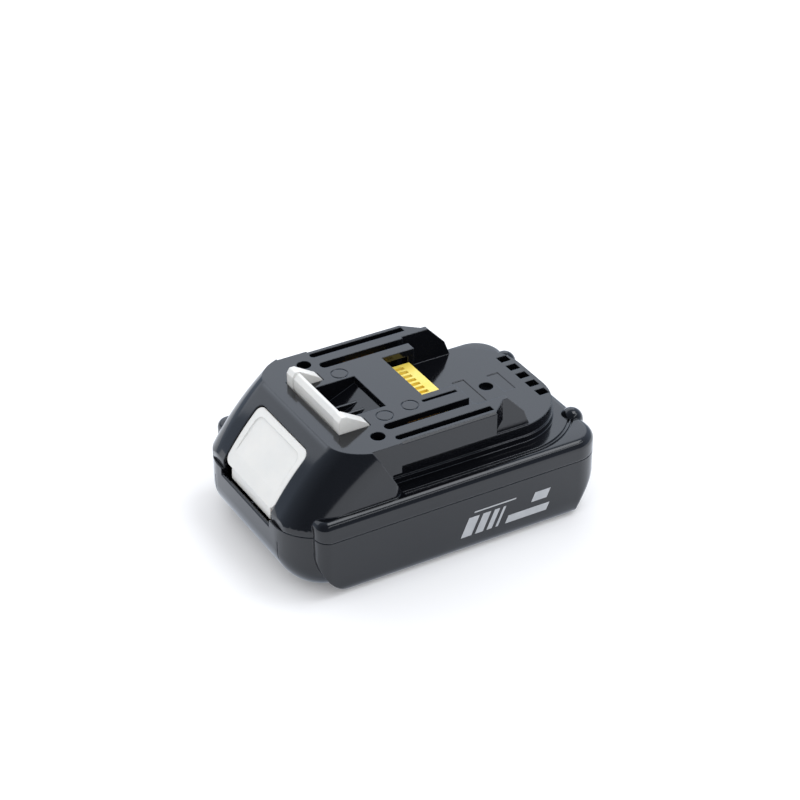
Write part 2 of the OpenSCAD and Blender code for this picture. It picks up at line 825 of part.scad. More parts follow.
// Compression spring under the latch, swept as one tube.
module latch_spring(side) {
    rings = len(spring_line);
    points = [for (i = [0 : rings - 1], k = [0 : spring_sides - 1])
        let (a = 360 * i / spring_rings, b = 360 * k / spring_sides)
        spring_line[i] + spring_wire / 2 * [cos(a) * cos(b), sin(a) * cos(b), sin(b)]];
    walls = [for (i = [0 : rings - 2], k = [0 : spring_sides - 1])
        let (n = spring_sides, p = i * n + k, q = i * n + (k + 1) % n)
        each [[p, q, q + n], [p, q + n, p + n]]];
    caps = [for (k = [1 : spring_sides - 2]) each [[0, k + 1, k],
        [(rings - 1) * spring_sides, (rings - 1) * spring_sides + k, (rings - 1) * spring_sides + k + 1]]];
    color("silver") translate([spring_x, side * spring_y, 0]) polyhedron(points, concat(walls, caps));
}

// Cell number i, with its positive end at +Y for every other cell.
module cell(i) {
    r = cell_d / 2;
    end = cell_l - cap_h;
    crimp = end - crimp_set;
    color("mediumseagreen") translate([cell_x(i), 0, axis_z]) rotate([i % 2 == 0 ? -90 : 90, 0, 0])
        translate([0, 0, -cell_l / 2]) rotate_extrude() polygon([
            [0, 0], [r - can_chamfer, 0], [r, can_chamfer], [r, crimp],
            [r - crimp_depth, crimp + crimp_w / 3], [r - crimp_depth, crimp + crimp_w],
            [r, crimp + crimp_w * 4 / 3], [r, end - can_chamfer],
            [r - can_chamfer, end], [cap_r, end], [cap_r, cell_l], [0, cell_l]
        ]);
}

// Cell holder: a row of bores with windows, screw bosses and board standoffs.
module cell_holder() {
    color("dimgray") difference() {
        union() {
            along_y(-holder_w / 2, holder_w / 2) {
                for (i = [0 : cell_count - 1]) translate([cell_x(i), axis_z]) circle(holder_r);
                translate([cell_x(0), axis_z - holder_r + band_cut])
                    square([cell_x(cell_count - 1) - cell_x(0), 2 * (holder_r - band_cut)]);
            }
            for (p = screw_places) translate([p[0], p[1], axis_z]) cylinder(d = boss_d, h = p[2] - axis_z);
            for (i = [1 : cell_count - 2], side = [-1, 1]) translate([valley_x(i), side * standoff_y, axis_z])
                cylinder(d = standoff_d, h = board_z - axis_z);
        }
        for (i = [0 : cell_count - 1]) {
            translate([cell_x(i), 0, axis_z]) rotate([90, 0, 0])
                cylinder(r = bore_r, h = cell_l, center = true);
            both_sides() translate([cell_x(i) - window[0] / 2, window_y, axis_z])
                cube([window[0], window[1], 2 * holder_r]);
        }
        for (p = screw_places) translate([p[0], p[1], p[2] + boss_gap + screw_seat - screw_shank[1] - over])
            cylinder(d = screw_shank[0] + screw_clear / 2, h = 2 * screw_shank[1]);
    }
}

// Nickel strip over cells i to j at one side, with a tab over cell k that turns in under the board.
module strip(i, j, k, side, reach) {
    y = cell_l / 2;
    x = cell_x(k);
    color("gainsboro") mirror([0, side < 0 ? 1 : 0, 0]) {
        along_y(y, y + strip_t) translate([(cell_x(i) + cell_x(j)) / 2, axis_z])
            round_rect([cell_x(j) - cell_x(i) + strip_w, strip_w], strip_r);
        box([x - tab_w / 2, y, axis_z], [x + tab_w / 2, y + strip_t, board_z]);
        box([x - tab_w / 2, reach / 2 - tab_inset, board_z - strip_t], [x + tab_w / 2, y + strip_t, board_z]);
    }
}

// Insulating sheet over the strips of one side.
module insulator(side) {
    y = cell_l / 2 + strip_t + sheet_gap;
    span = cell_x(cell_count - 1) - cell_x(0) + cell_d - 2 * sheet_margin;
    color("cornsilk") mirror([0, side < 0 ? 1 : 0, 0]) along_y(y, y + sheet_t)
        translate([(cell_x(0) + cell_x(cell_count - 1)) / 2, axis_z])
        round_rect([span, cell_d - 2 * sheet_margin], sheet_margin);
}

// Foam pads that the holder stands on.
module base_pads() {
    color("slategray") for (i = pad_cells) translate([cell_x(i), 0, floor_t])
        linear_extrude(pad_t - pad_gap) round_rect([pad_l, pad_w], pad_r);
}

// Circuit board over the cells, with a tongue towards the latch.
module circuit_board() {
    color("darkgreen") difference() {
        translate([0, 0, board_z]) linear_extrude(board_t) {
            deck_plan(board_x, -wall - board_clear);
            translate([tongue_x, -tongue_w / 2]) square([board_x - tongue_x + sink, tongue_w]);
        }
        for (p = screw_places) if (p[1] == 0) translate([p[0], p[1], board_z - over])
            cylinder(d = boss_d + 2 * board_clear, h = board_t + 2 * over);
    }
}

// Chips and a capacitor that stand on the board.
module board_parts() {
    color("darkslategray") {
        for (c = chips) translate([board_x + c[0], c[1], board_top]) linear_extrude(c[4])
            square([c[2], c[3]], center = true);
        translate([board_x + capacitor[0], capacitor[1], board_top])
            cylinder(d = capacitor[2], h = capacitor[3]);
    }
}

// Bead thermistor on the middle cell, under the board.
module thermistor() {
    color("saddlebrown") translate([cell_x(2), window_y + window[1] / 2, axis_z + cell_d / 2 + pad_gap]) {
        translate([0, 0, bead_r]) sphere(bead_r);
        for (side = [-1, 1]) translate([side * bead_r / 2, 0, bead_r])
            cylinder(d = lead_d, h = board_z - axis_z - cell_d / 2 - pad_gap - bead_r);
    }
}

// Signal contact places across the terminal block.
function pin_y(i) = block_y + (i - (pin_count - 1) / 2) * pin_pitch;

// Yellow terminal block with a comb of contact slots.
module terminal_block() {
    color(yellow) difference() {
        box([block_x0, block_y - block_w / 2, board_top], [block_x1, block_y + block_w / 2, block_z]);
        for (i = [0 : pin_count - 1])
            box([block_x0 + pin_lead, pin_y(i) - pin_slot_w / 2, block_z - pin_slot_h],
                [block_x1 - pin_apron, pin_y(i) + pin_slot_w / 2, block_z + over]);
    }
}

// Signal contacts on the floors of the block's slots.
module signal_contacts() {
    color("goldenrod") for (i = [0 : pin_count - 1])
        box([block_x0 + 2 * pin_lead, pin_y(i) - pin_t / 2, block_z - pin_slot_h],
            [pocket_x - pin_lead, pin_y(i) + pin_t / 2, block_z - pin_slot_h + pin_h]);
}

// Power contact: a pinched clip that stands on the board under a blade slot.
module power_contact(side) {
    w = clip_w / 2;
    bend = clip_top - clip_bend[0];
    neck = clip_top - clip_bend[1];
    color("goldenrod") mirror([0, side < 0 ? 1 : 0, 0]) translate([0, blade_slot_y, 0])
        along_x(clip_x[0], clip_x[1]) polygon([
            [-w, board_top], [w, board_top], [w, bend], [w - clip_pinch, neck], [w, clip_top],
            [w - clip_t, clip_top], [w - clip_t - clip_pinch, neck], [w - clip_t, bend],
            [w - clip_t, board_top + clip_t], [clip_t - w, board_top + clip_t], [clip_t - w, bend],
            [clip_t + clip_pinch - w, neck], [clip_t - w, clip_top], [-w, clip_top],
            [clip_pinch - w, neck], [-w, bend]
        ]);
}

// Screws that hold the upper case to the holder.
module case_screws() {
    color("silver") for (p = screw_places) translate([p[0], p[1], p[2] + boss_gap + screw_seat])
    difference() {
        union() {
            cylinder(d = screw_head[0], h = screw_head[1]);
            translate([0, 0, -screw_shank[1]]) cylinder(d = screw_shank[0], h = screw_shank[1] + sink);
        }
        translate([0, 0, screw_head[1] / 2]) cylinder(d = screw_head[0] / 2, h = screw_head[1], $fn = 6);
    }
}

// Plug over the rear screw, just under the deck's surface.
module screw_plug() {
    p = screw_places[2];
    z = p[2] + boss_gap + screw_seat + screw_head[1] + boss_gap;
    color(black) translate([p[0], p[1], z])
        cylinder(d = screw_hole_d - plug_clear, h = deck_z - plug_sunk - z);
}

lower_case();
upper_case();
latch();
latch_spring(-1);  // latch_spring_left
latch_spring(1);  // latch_spring_right
cell(0);  // cell_1
cell(1);  // cell_2
cell(2);  // cell_3
cell(3);  // cell_4
cell(4);  // cell_5
cell_holder();
strip(0, 0, 0, -1, tongue_w);  // strip_negative
strip(0, 1, 1, 1, board_w);  // strip_1_2
strip(1, 2, 2, -1, board_w);  // strip_2_3
strip(2, 3, 2, 1, board_w);  // strip_3_4
strip(3, 4, 3, -1, board_w);  // strip_4_5
strip(4, 4, 4, 1, 2 * standoff_y);  // strip_positive
insulator(-1);  // insulator_left
insulator(1);  // insulator_right
base_pads();
circuit_board();
board_parts();
thermistor();
terminal_block();
signal_contacts();
power_contact(1);  // contact_positive
power_contact(-1);  // contact_negative
case_screws();
screw_plug();
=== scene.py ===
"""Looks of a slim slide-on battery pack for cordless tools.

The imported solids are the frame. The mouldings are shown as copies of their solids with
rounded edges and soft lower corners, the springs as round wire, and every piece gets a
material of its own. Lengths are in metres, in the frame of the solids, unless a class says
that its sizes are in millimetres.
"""
import logging
import math
from dataclasses import dataclass
from enum import Enum
from typing import Any, Iterable

import bmesh
import bpy
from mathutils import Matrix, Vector


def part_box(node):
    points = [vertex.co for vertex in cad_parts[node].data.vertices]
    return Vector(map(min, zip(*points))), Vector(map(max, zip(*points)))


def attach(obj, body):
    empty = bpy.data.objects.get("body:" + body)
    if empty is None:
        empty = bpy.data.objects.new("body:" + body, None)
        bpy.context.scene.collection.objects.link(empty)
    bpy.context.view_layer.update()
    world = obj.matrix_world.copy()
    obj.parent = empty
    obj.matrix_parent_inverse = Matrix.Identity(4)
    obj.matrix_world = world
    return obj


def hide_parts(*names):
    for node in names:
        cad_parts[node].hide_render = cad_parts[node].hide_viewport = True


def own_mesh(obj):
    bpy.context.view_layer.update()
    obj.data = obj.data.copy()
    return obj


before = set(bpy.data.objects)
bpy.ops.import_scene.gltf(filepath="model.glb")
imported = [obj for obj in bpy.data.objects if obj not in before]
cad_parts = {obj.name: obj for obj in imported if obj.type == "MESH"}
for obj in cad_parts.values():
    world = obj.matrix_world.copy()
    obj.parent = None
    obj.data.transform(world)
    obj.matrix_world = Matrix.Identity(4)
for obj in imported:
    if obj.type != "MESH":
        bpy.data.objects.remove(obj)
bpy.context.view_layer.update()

LOG = logging.getLogger("battery_pack")
MM = 0.001

Colour = tuple[float, float, float, float]
Point = tuple[float, float, float]


class Body(Enum):
    """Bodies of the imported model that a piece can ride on."""

    PACK = "pack"
    LATCH = "latch_slide"


class Slot(Enum):
    """Material slots that the mouldings carry."""

    CASE = "case_plastic"
    LATCH = "latch_plastic"
    TERMINAL = "terminal_plastic"
    SPRING = "spring_steel"


def linear(code: str) -> Colour:
    """Turns an sRGB hex colour into linear values.

    Args:
        code: Colour such as "#1b1d20".

    Returns:
        Red, green, blue and alpha as linear numbers.
    """
    values = [int(code[i:i + 2], 16) / 255 for i in (1, 3, 5)]
    parts = [v / 12.92 if v <= 0.04045 else ((v + 0.055) / 1.055) ** 2.4 for v in values]
    return (parts[0], parts[1], parts[2], 1.0)


def per_metre(size_mm: float) -> float:
    """Texture scale at which one feature of a pattern is size_mm wide."""
    return 1 / (size_mm * MM)


def add_node(
    tree: bpy.types.NodeTree,
    kind: str,
    settings: dict[str, Any] | None = None,
    inputs: dict[str | int, Any] | None = None,
    links: dict[str | int, bpy.types.NodeSocket] | None = None,
) -> bpy.types.Node:
    """Adds one shader node.

    Args:
        tree: Node tree that gets the node.
        kind: Blender's name for the node type.
        settings: Properties of the node.
        inputs: Values of its input sockets.
        links: Output sockets to join to its input sockets.

    Returns:
        The new node.
    """
    node = tree.nodes.new(kind)
    for name, value in (settings or {}).items():
        setattr(node, name, value)
    for name, value in (inputs or {}).items():
        node.inputs[name].default_value = value
    for name, socket in (links or {}).items():
        tree.links.new(socket, node.inputs[name])
    return node


@dataclass(frozen=True)
class Finish:
    """A surface with soft colour changes, uneven gloss and a fine grain.

    Two hex colours blend over patches of patch_mm, roughness moves between its two values
    over the same patches, and a grain of grain_mm gives the bump. Where soft_mm is given, light
    falls on edges as on a round of that radius, and edge_highlight_colour lightens them as a
    painted highlight.
    """

    name: str
    colour: str
    second: str
    roughness: tuple[float, float]
    patch_mm: float
    grain_mm: float
    bump_um: float
    metallic: float = 0.0
    ior: float = 1.5
    stretch: Point = (1.0, 1.0, 1.0)
    soft_mm: float = 0.0
    edge_highlight_colour: str = ""
    subsurface: float = 0.0

    def build(self) -> bpy.types.Material:
        """Makes the material.

        Returns:
            A material with a node tree.
        """
        material = bpy.data.materials.new(self.name)
        material.use_nodes = True
        tree = material.node_tree
        tree.nodes.clear()
        place = add_node(tree, "ShaderNodeTexCoord").outputs["Object"]
        run = add_node(tree, "ShaderNodeMapping", inputs={"Scale": self.stretch},
                       links={"Vector": place})
        patches = add_node(tree, "ShaderNodeTexNoise",
                           inputs={"Scale": per_metre(self.patch_mm), "Detail": 4.0,
                                   "Roughness": 0.6},
                           links={"Vector": run.outputs["Vector"]})
        grain = add_node(tree, "ShaderNodeTexNoise",
                         inputs={"Scale": per_metre(self.grain_mm), "Detail": 2.0},
                         links={"Vector": run.outputs["Vector"]})
        tint = add_node(tree, "ShaderNodeValToRGB", links={"Fac": patches.outputs["Fac"]})
        tint.color_ramp.elements[0].position = 0.35
        tint.color_ramp.elements[0].color = linear(self.colour)
        tint.color_ramp.elements[1].position = 0.7
        tint.color_ramp.elements[1].color = linear(self.second)
        gloss = add_node(tree, "ShaderNodeMapRange",
                         inputs={"From Min": 0.3, "From Max": 0.7, "To Min": self.roughness[0],
                                 "To Max": self.roughness[1]},
                         links={"Value": patches.outputs["Fac"]})
        bump = add_node(tree, "ShaderNodeBump",
                        inputs={"Strength": 1.0, "Distance": self.bump_um * MM * MM},
                        links={"Height": grain.outputs["Fac"]})
        colour = tint.outputs["Color"]
        if self.soft_mm:
            soft = add_node(tree, "ShaderNodeBevel", settings={"samples": 8},
                            inputs={"Radius": self.soft_mm * MM})
            tree.links.new(soft.outputs["Normal"], bump.inputs["Normal"])
            # Painted highlight on the edges in a paler colour.
            if self.edge_highlight_colour:
                colour = self.paint_edge_highlights(tree, colour, soft.outputs["Normal"])
        shader = add_node(tree, "ShaderNodeBsdfPrincipled",
                          inputs={"Metallic": self.metallic, "IOR": self.ior,
                                  "Subsurface Weight": self.subsurface,
                                  "Subsurface Radius": (0.8 * MM, 0.7 * MM, 0.6 * MM),
                                  "Subsurface Scale": 1.0},
                          links={"Base Color": colour, "Roughness": gloss.outputs["Result"],
                                 "Normal": bump.outputs["Normal"]})
        add_node(tree, "ShaderNodeOutputMaterial", links={"Surface": shader.outputs["BSDF"]})
        return material

    def paint_edge_highlights(
        self, tree: bpy.types.NodeTree, colour: bpy.types.NodeSocket, soft: bpy.types.NodeSocket
    ) -> bpy.types.NodeSocket:
        """Paints a highlight on edges by lightening them.

        Args:
            tree: Node tree of the material.
            colour: Colour of the surface without the painted highlight.
            soft: Normal of the surface with round edges.

        Returns:
            The colour with the painted edge highlight.
        """
        flat = add_node(tree, "ShaderNodeNewGeometry").outputs["Normal"]
        match = add_node(tree, "ShaderNodeVectorMath", settings={"operation": "DOT_PRODUCT"},
                         links={0: flat, 1: soft})
        # Painted highlight: the more the round normal turns from the flat one, the more the edge
        # takes the paler colour.
        painted_highlight = add_node(tree, "ShaderNodeMapRange",
                       inputs={"From Min": 0.99, "From Max": 0.85, "To Min": 0.0, "To Max": 1.0},
                       links={"Value": match.outputs["Value"]})
        mix = add_node(tree, "ShaderNodeMixRGB", inputs={"Color2": linear(self.edge_highlight_colour)},
                       links={"Fac": painted_highlight.outputs["Result"], "Color1": colour})
        return mix.outputs["Color"]


# Polished nylon blend, injection-moulded: deep black with a mirror gloss and faint flow patches;
# its edges get a painted highlight in a paler grey.
CASE_NYLON = Finish("black_nylon_polished", "#0a0b0f", "#0e0f13", (0.1, 0.14), 22, 0.7, 1.2,
                    soft_mm=0.45, edge_highlight_colour="#2a2d33")
# Acetal, injection-moulded in white: satin, slightly waxy, with a fine spark-eroded grain.
LATCH_ACETAL = Finish("white_acetal_satin", "#e2e3e2", "#e8e8e6", (0.34, 0.44), 12, 0.35, 3,
                      ior=1.48, soft_mm=0.5, subsurface=0.08)
# Polyester with yellow pigment, moulded: half matt, with darker flow marks.
TERMINAL_POLYESTER = Finish("yellow_polyester_moulded", "#f8dc54", "#fae678", (0.38, 0.5), 6, 0.3,
                            3, ior=1.57)
# Filled nylon of the holder, moulded: dark grey and matt.
HOLDER_NYLON = Finish("grey_nylon_matt", "#2f3134", "#393b3e", (0.5, 0.62), 14, 0.4, 4)
# Spring wire, cold drawn: bright grey steel with lines along its length.
SPRING_WIRE = Finish("spring_steel_drawn", "#9a9c9f", "#b3b5b8", (0.25, 0.38), 3, 0.15, 2,
                     metallic=1.0)
# Zinc-plated steel of the screws: pale grey with a slightly cloudy gloss.
ZINC_STEEL = Finish("zinc_plated_steel", "#a4a6a8", "#bcbdbf", (0.28, 0.42), 2, 0.2, 2,
                    metallic=1.0)
# Shrink sleeve of the cells: thin green film drawn tight over a can.
CELL_FILM = Finish("green_shrink_film", "#1f7f5c", "#2a8f69", (0.2, 0.3), 10, 1.2, 2, ior=1.54)
# Nickel-plated steel strip, rolled: bright, warm grey, with faint rolling lines.
NICKEL_STRIP = Finish("nickel_strip_rolled", "#b4b1a9", "#c6c3bb", (0.18, 0.3), 4, 0.25, 1.5,
                      metallic=1.0, stretch=(0.2, 1.0, 1.0))
# Pressed fibre sheet: dull cream paper with short fibres.
FIBRE_SHEET = Finish("fibre_sheet_pressed", "#cfc49f", "#dcd3b4", (0.75, 0.9), 3, 0.3, 12)
# Closed-cell foam: dull blue-grey with open pores on the cut faces.
PAD_FOAM = Finish("closed_cell_foam", "#3e444b", "#4d545c", (0.85, 0.95), 2, 0.4, 40)
# Glass-fibre laminate under green solder mask: smooth, with the weave just showing.
BOARD_LAMINATE = Finish("green_solder_mask", "#174a2a", "#1d5a34", (0.28, 0.4), 5, 0.5, 3,
                        ior=1.55)
# Moulded resin of the chips: dull near-black with a fine grain.
CHIP_RESIN = Finish("moulded_resin_matt", "#1b1c1e", "#242628", (0.55, 0.7), 3, 0.15, 4)
# Tin bronze, rolled and stamped: warm yellow-brown metal with rolling lines.
TIN_BRONZE = Finish("tin_bronze_rolled", "#a9773c", "#c08b4c", (0.22, 0.34), 3, 0.2, 1.5,
                    metallic=1.0, stretch=(1.0, 1.0, 0.25))
# Pad-printed ink with aluminium flake: cool silver grey, half matt.
SILVER_INK = Finish("silver_ink_printed", "#a9abae", "#b8babc", (0.4, 0.5), 4, 0.12, 1,
                    metallic=0.3)


def dress_node(name: str, finish: Finish) -> None:
    """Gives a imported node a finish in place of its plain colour.

    Args:
        name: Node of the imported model.
        finish: Finish that it gets.
    """
    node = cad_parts[name]
    material = finish.build()
    if not node.material_slots:
        node.data.materials.append(material)
    for place in node.material_slots:
        place.material = material
    LOG.info("dressed %s with %s", name, finish.name)


def show_piece(
    name: str, mesh: bpy.types.Mesh, finish: Finish, body: Body
) -> bpy.types.Object:
    """Puts a mesh in the scene as a piece of the object.

    Args:
        name: Name of the piece.
        mesh: Its mesh, in the frame of the solids.
        finish: Its finish.
        body: Body that it rides on.

    Returns:
        The new object.
    """
    piece = bpy.data.objects.new(name, mesh)
    bpy.context.scene.collection.objects.link(piece)
    mesh.materials.clear()
    mesh.materials.append(finish.build())
    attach(piece, body.value)
    LOG.info("made %s with %s", name, finish.name)
    return piece


@dataclass(frozen=True)
class RolledCorners:
    """Soft round of the two lower corners at one end of the case, in millimetres.

    The bottom's roll turns round each corner of the plan, from the roll of the end to that of the
    sides. inward is 1 where the case lies at larger x than its end, and -1 otherwise. The higher
    blend is, the longer the roll of the end lasts.
    """

    end: float
    inward: int
    half_width: float
    corner: float
    end_roll: float
    side_roll: float
    blend: float
    step: float = 1.25

    def soften(self, shape: bmesh.types.BMesh) -> None:
        """Cuts the corners fine and pulls them in to the round.

        Args:
            shape: Shape of the case, in metres.
        """
        for i in range(int(self.corner / self.step) + 1):
            inset = self.corner - i * self.step
            self.cut(shape, (self.end + self.inward * inset, 0, 0), (1, 0, 0))
            for side in (-1, 1):
                self.cut(shape, (0, side * (self.half_width - inset), 0), (0, 1, 0))
        for i in range(1, int(self.end_roll / self.step)):
            self.cut(shape, (0, 0, i * self.step), (0, 0, 1))
        for point in shape.verts:
            self.pull(point)

    def cut(self, shape: bmesh.types.BMesh, place: Point, across: Point) -> None:
        """Cuts the faces near the corners along a plane.

        Args:
            shape: Shape of the case.
            place: A point of the plane.
            across: Normal of the plane.
        """
        near_y = (self.half_width - self.corner) * MM
        faces = [
            face for face in shape.faces
            if min((v.co.x / MM - self.end) * self.inward for v in face.verts) < self.corner
            and min(v.co.z for v in face.verts) < self.end_roll * MM
            and max(abs(v.co.y) for v in face.verts) > near_y
        ]
        edges = {edge for face in faces for edge in face.edges}
        points = {point for face in faces for point in face.verts}
        bmesh.ops.bisect_plane(shape, geom=[*faces, *edges, *points], dist=0.001 * MM,
                               plane_co=Vector(place) * MM, plane_no=across)

    def pull(self, point: bmesh.types.BMVert) -> None:
        """Moves a point that stands out of the round onto it.

        Args:
            point: A point of the case.
        """
        x, y, z = point.co / MM
        ahead = self.corner - (x - self.end) * self.inward
        aside = self.corner - (self.half_width - abs(y))
        out = math.hypot(ahead, aside)
        depth = self.corner - out
        if ahead <= 0 or aside <= 0 or depth < -0.02:
            return
        share = math.atan2(aside, ahead) / (math.pi / 2)
        roll = self.end_roll + (self.side_roll - self.end_roll) * share ** self.blend
        reach = math.hypot(roll - depth, roll - z)
        if depth >= roll or z >= roll or reach <= roll:
            return
        scale = (self.corner - roll + (roll - depth) * roll / reach) / out
        point.co = Vector((
            self.end + self.inward * (self.corner - ahead * scale),
            math.copysign(self.half_width - self.corner + aside * scale, y),
            roll - (roll - z) * roll / reach,
        )) * MM


FRONT_CORNERS = RolledCorners(end=-58.0, inward=1, half_width=34.6, corner=15.0, end_roll=14.0,
                              side_roll=8.0, blend=1.0)
REAR_CORNERS = RolledCorners(end=56.5, inward=-1, half_width=37.5, corner=10.0, end_roll=15.0,
                             side_roll=4.0, blend=3.0)


@dataclass
class Moulding:
    """A moulded piece: its solid with rounded edges and even shading."""

    node: str
    piece: str
    finish: Finish
    body: Body
    slot: Slot
    edge_mm: float = 0.3
    edge_angle: float = 28.0
    steps: int = 2
    join_planes: bool = True
    corners: tuple[RolledCorners, ...] = ()

    def build(self) -> bpy.types.Object:
        """Makes the moulding from its node and hides the node.

        Returns:
            The moulding.
        """
        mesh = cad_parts[self.node].data.copy()
        mesh.name = self.piece
        self.clean(mesh)
        moulding = show_piece(self.piece, mesh, self.finish, self.body)
        self.round_edges(moulding)
        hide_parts(self.node)
        return moulding

    def clean(self, mesh: bpy.types.Mesh) -> None:
        """Welds the triangles of a solid and joins those of one plane.

        Args:
            mesh: Mesh of the solid.
        """
        shape = bmesh.new()
        shape.from_mesh(mesh)
        bmesh.ops.remove_doubles(shape, verts=shape.verts, dist=0.002 * MM)
        if self.join_planes:
            bmesh.ops.dissolve_limit(shape, angle_limit=math.radians(0.3), verts=shape.verts,
                                     edges=shape.edges)
        for pair in self.corners:
            pair.soften(shape)
        for face in shape.faces:
            face.smooth = True
        shape.to_mesh(mesh)
        shape.free()
        if mesh.has_custom_normals:
            mesh.attributes.remove(mesh.attributes["custom_normal"])

    def round_edges(self, moulding: bpy.types.Object) -> None:
        """Rounds the sharp edges of a moulding.

        Args:
            moulding: The moulding's object.
        """
        bevel = moulding.modifiers.new("edge_round", "BEVEL")
        bevel.width = self.edge_mm * MM
        bevel.segments = self.steps
        bevel.limit_method = "ANGLE"
        bevel.angle_limit = math.radians(self.edge_angle)
        bevel.use_clamp_overlap = True
        bevel.miter_outer = "MITER_ARC"
        bevel.harden_normals = True


@dataclass
class LatchSprings:
    """The two compression springs under the latch, as round wire."""

    turns: float = 6.5
    wire_mm: float = 0.7
    points_per_turn: int = 16
    sides: int = 8
    keep: float = 0.6
    pairs: tuple[tuple[str, str], ...] = (
        ("latch_spring_left", "spring_wire_left"),
        ("latch_spring_right", "spring_wire_right"),
    )

    def build(self) -> None:
        """Makes both springs."""
        for node, name in self.pairs:
            low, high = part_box(node)
            mesh = self.wire(name, Vector(low), Vector(high))
            piece = show_piece(name, mesh, SPRING_WIRE, Body.PACK)
            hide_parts(node)
            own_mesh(piece)

    def wire(self, name: str, low: Vector, high: Vector) -> bpy.types.Mesh:
        """Sweeps a round wire along a helix.

        Args:
            name: Name of the mesh.
            low: Lowest corner of the spring's box.
            high: Highest corner of the spring's box.

        Returns:
            The mesh of the wire.
        """
        middle = (low + high) / 2
        wire_r = self.wire_mm * MM / 2
        coil_r = (high.y - low.y) / 2 - wire_r
        count = int(self.turns * self.points_per_turn)
        shape = bmesh.new()
        rings = []
        for i in range(count + 1):
            turn = i / self.points_per_turn
            angle = 2 * math.pi * turn
            out = Vector((math.cos(angle), math.sin(angle), 0))
            height = low.z + wire_r + (high.z - low.z - 2 * wire_r) * i / count
            centre = Vector((middle.x, middle.y, height)) + out * coil_r
            ring = []
            for k in range(self.sides):
                tilt = 2 * math.pi * k / self.sides
                spoke = math.cos(tilt) * out + math.sin(tilt) * Vector((0, 0, 1))
                ring.append(shape.verts.new(centre + wire_r * spoke))
            rings.append(ring)
        for first, second in zip(rings, rings[1:]):
            for k in range(self.sides):
                n = (k + 1) % self.sides
                shape.faces.new((first[k], first[n], second[n], second[k]))
        shape.faces.new(rings[0])
        shape.faces.new(list(reversed(rings[-1])))
        bmesh.ops.recalc_face_normals(shape, faces=shape.faces)
        for face in shape.faces:
            face.smooth = True
        mesh = bpy.data.meshes.new(name)
        shape.to_mesh(mesh)
        shape.free()
        return mesh


@dataclass(frozen=True)
class Bar:
    """A slanted bar, by its lower edge, its height and its lean to the rear."""

    start: float
    end: float
    low: float
    high: float


@dataclass
class SideBars:
    """Plain printed bars on the near side of the case, in millimetres."""

    lean: float = 0.45
    proud: float = 0.02
    bars: tuple[Bar, ...] = (
        Bar(1.0, 5.0, 6.4, 13.4),
        Bar(6.4, 9.4, 6.4, 13.4),
        Bar(10.8, 12.8, 6.4, 13.4),
        Bar(14.2, 15.2, 6.4, 13.4),
        Bar(18.0, 34.0, 6.4, 9.2),
        Bar(6.0, 22.0, 14.8, 15.3),
        Bar(28.0, 34.0, 11.4, 14.8),
    )

    def build(self) -> None:
        """Makes the bars as one thin print."""
        face_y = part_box("lower_case")[0][1] - self.proud * MM
        shape = bmesh.new()
        for bar in self.bars:
            shift = self.lean * (bar.high - bar.low)
            outline = (
                (bar.start, bar.low), (bar.end, bar.low),
                (bar.end + shift, bar.high), (bar.start + shift, bar.high),
            )
            shape.faces.new([shape.verts.new((x * MM, face_y, z * MM)) for x, z in outline])
        mesh = bpy.data.meshes.new("side_bars")
        shape.to_mesh(mesh)
        shape.free()
        show_piece("side_bars", mesh, SILVER_INK, Body.PACK)


@dataclass(frozen=True)
class Softbox:
    """A rectangular lamp that faces the pack."""

    name: str
    place: Point
    size: tuple[float, float]
    power: float
    colour: str = "#f4f7fb"

    def build(self) -> None:
        """Hangs the lamp."""
        data = bpy.data.lights.new(self.name, "AREA")
        data.shape = "RECTANGLE"
        data.size, data.size_y = self.size
        data.energy = self.power
        data.color = linear(self.colour)[:3]
        lamp = bpy.data.objects.new(self.name, data)
        lamp.location = self.place
        lamp.rotation_mode = "QUATERNION"
        lamp.rotation_quaternion = (-Vector(self.place)).to_track_quat("-Z", "Y")
        bpy.context.scene.collection.objects.link(lamp)


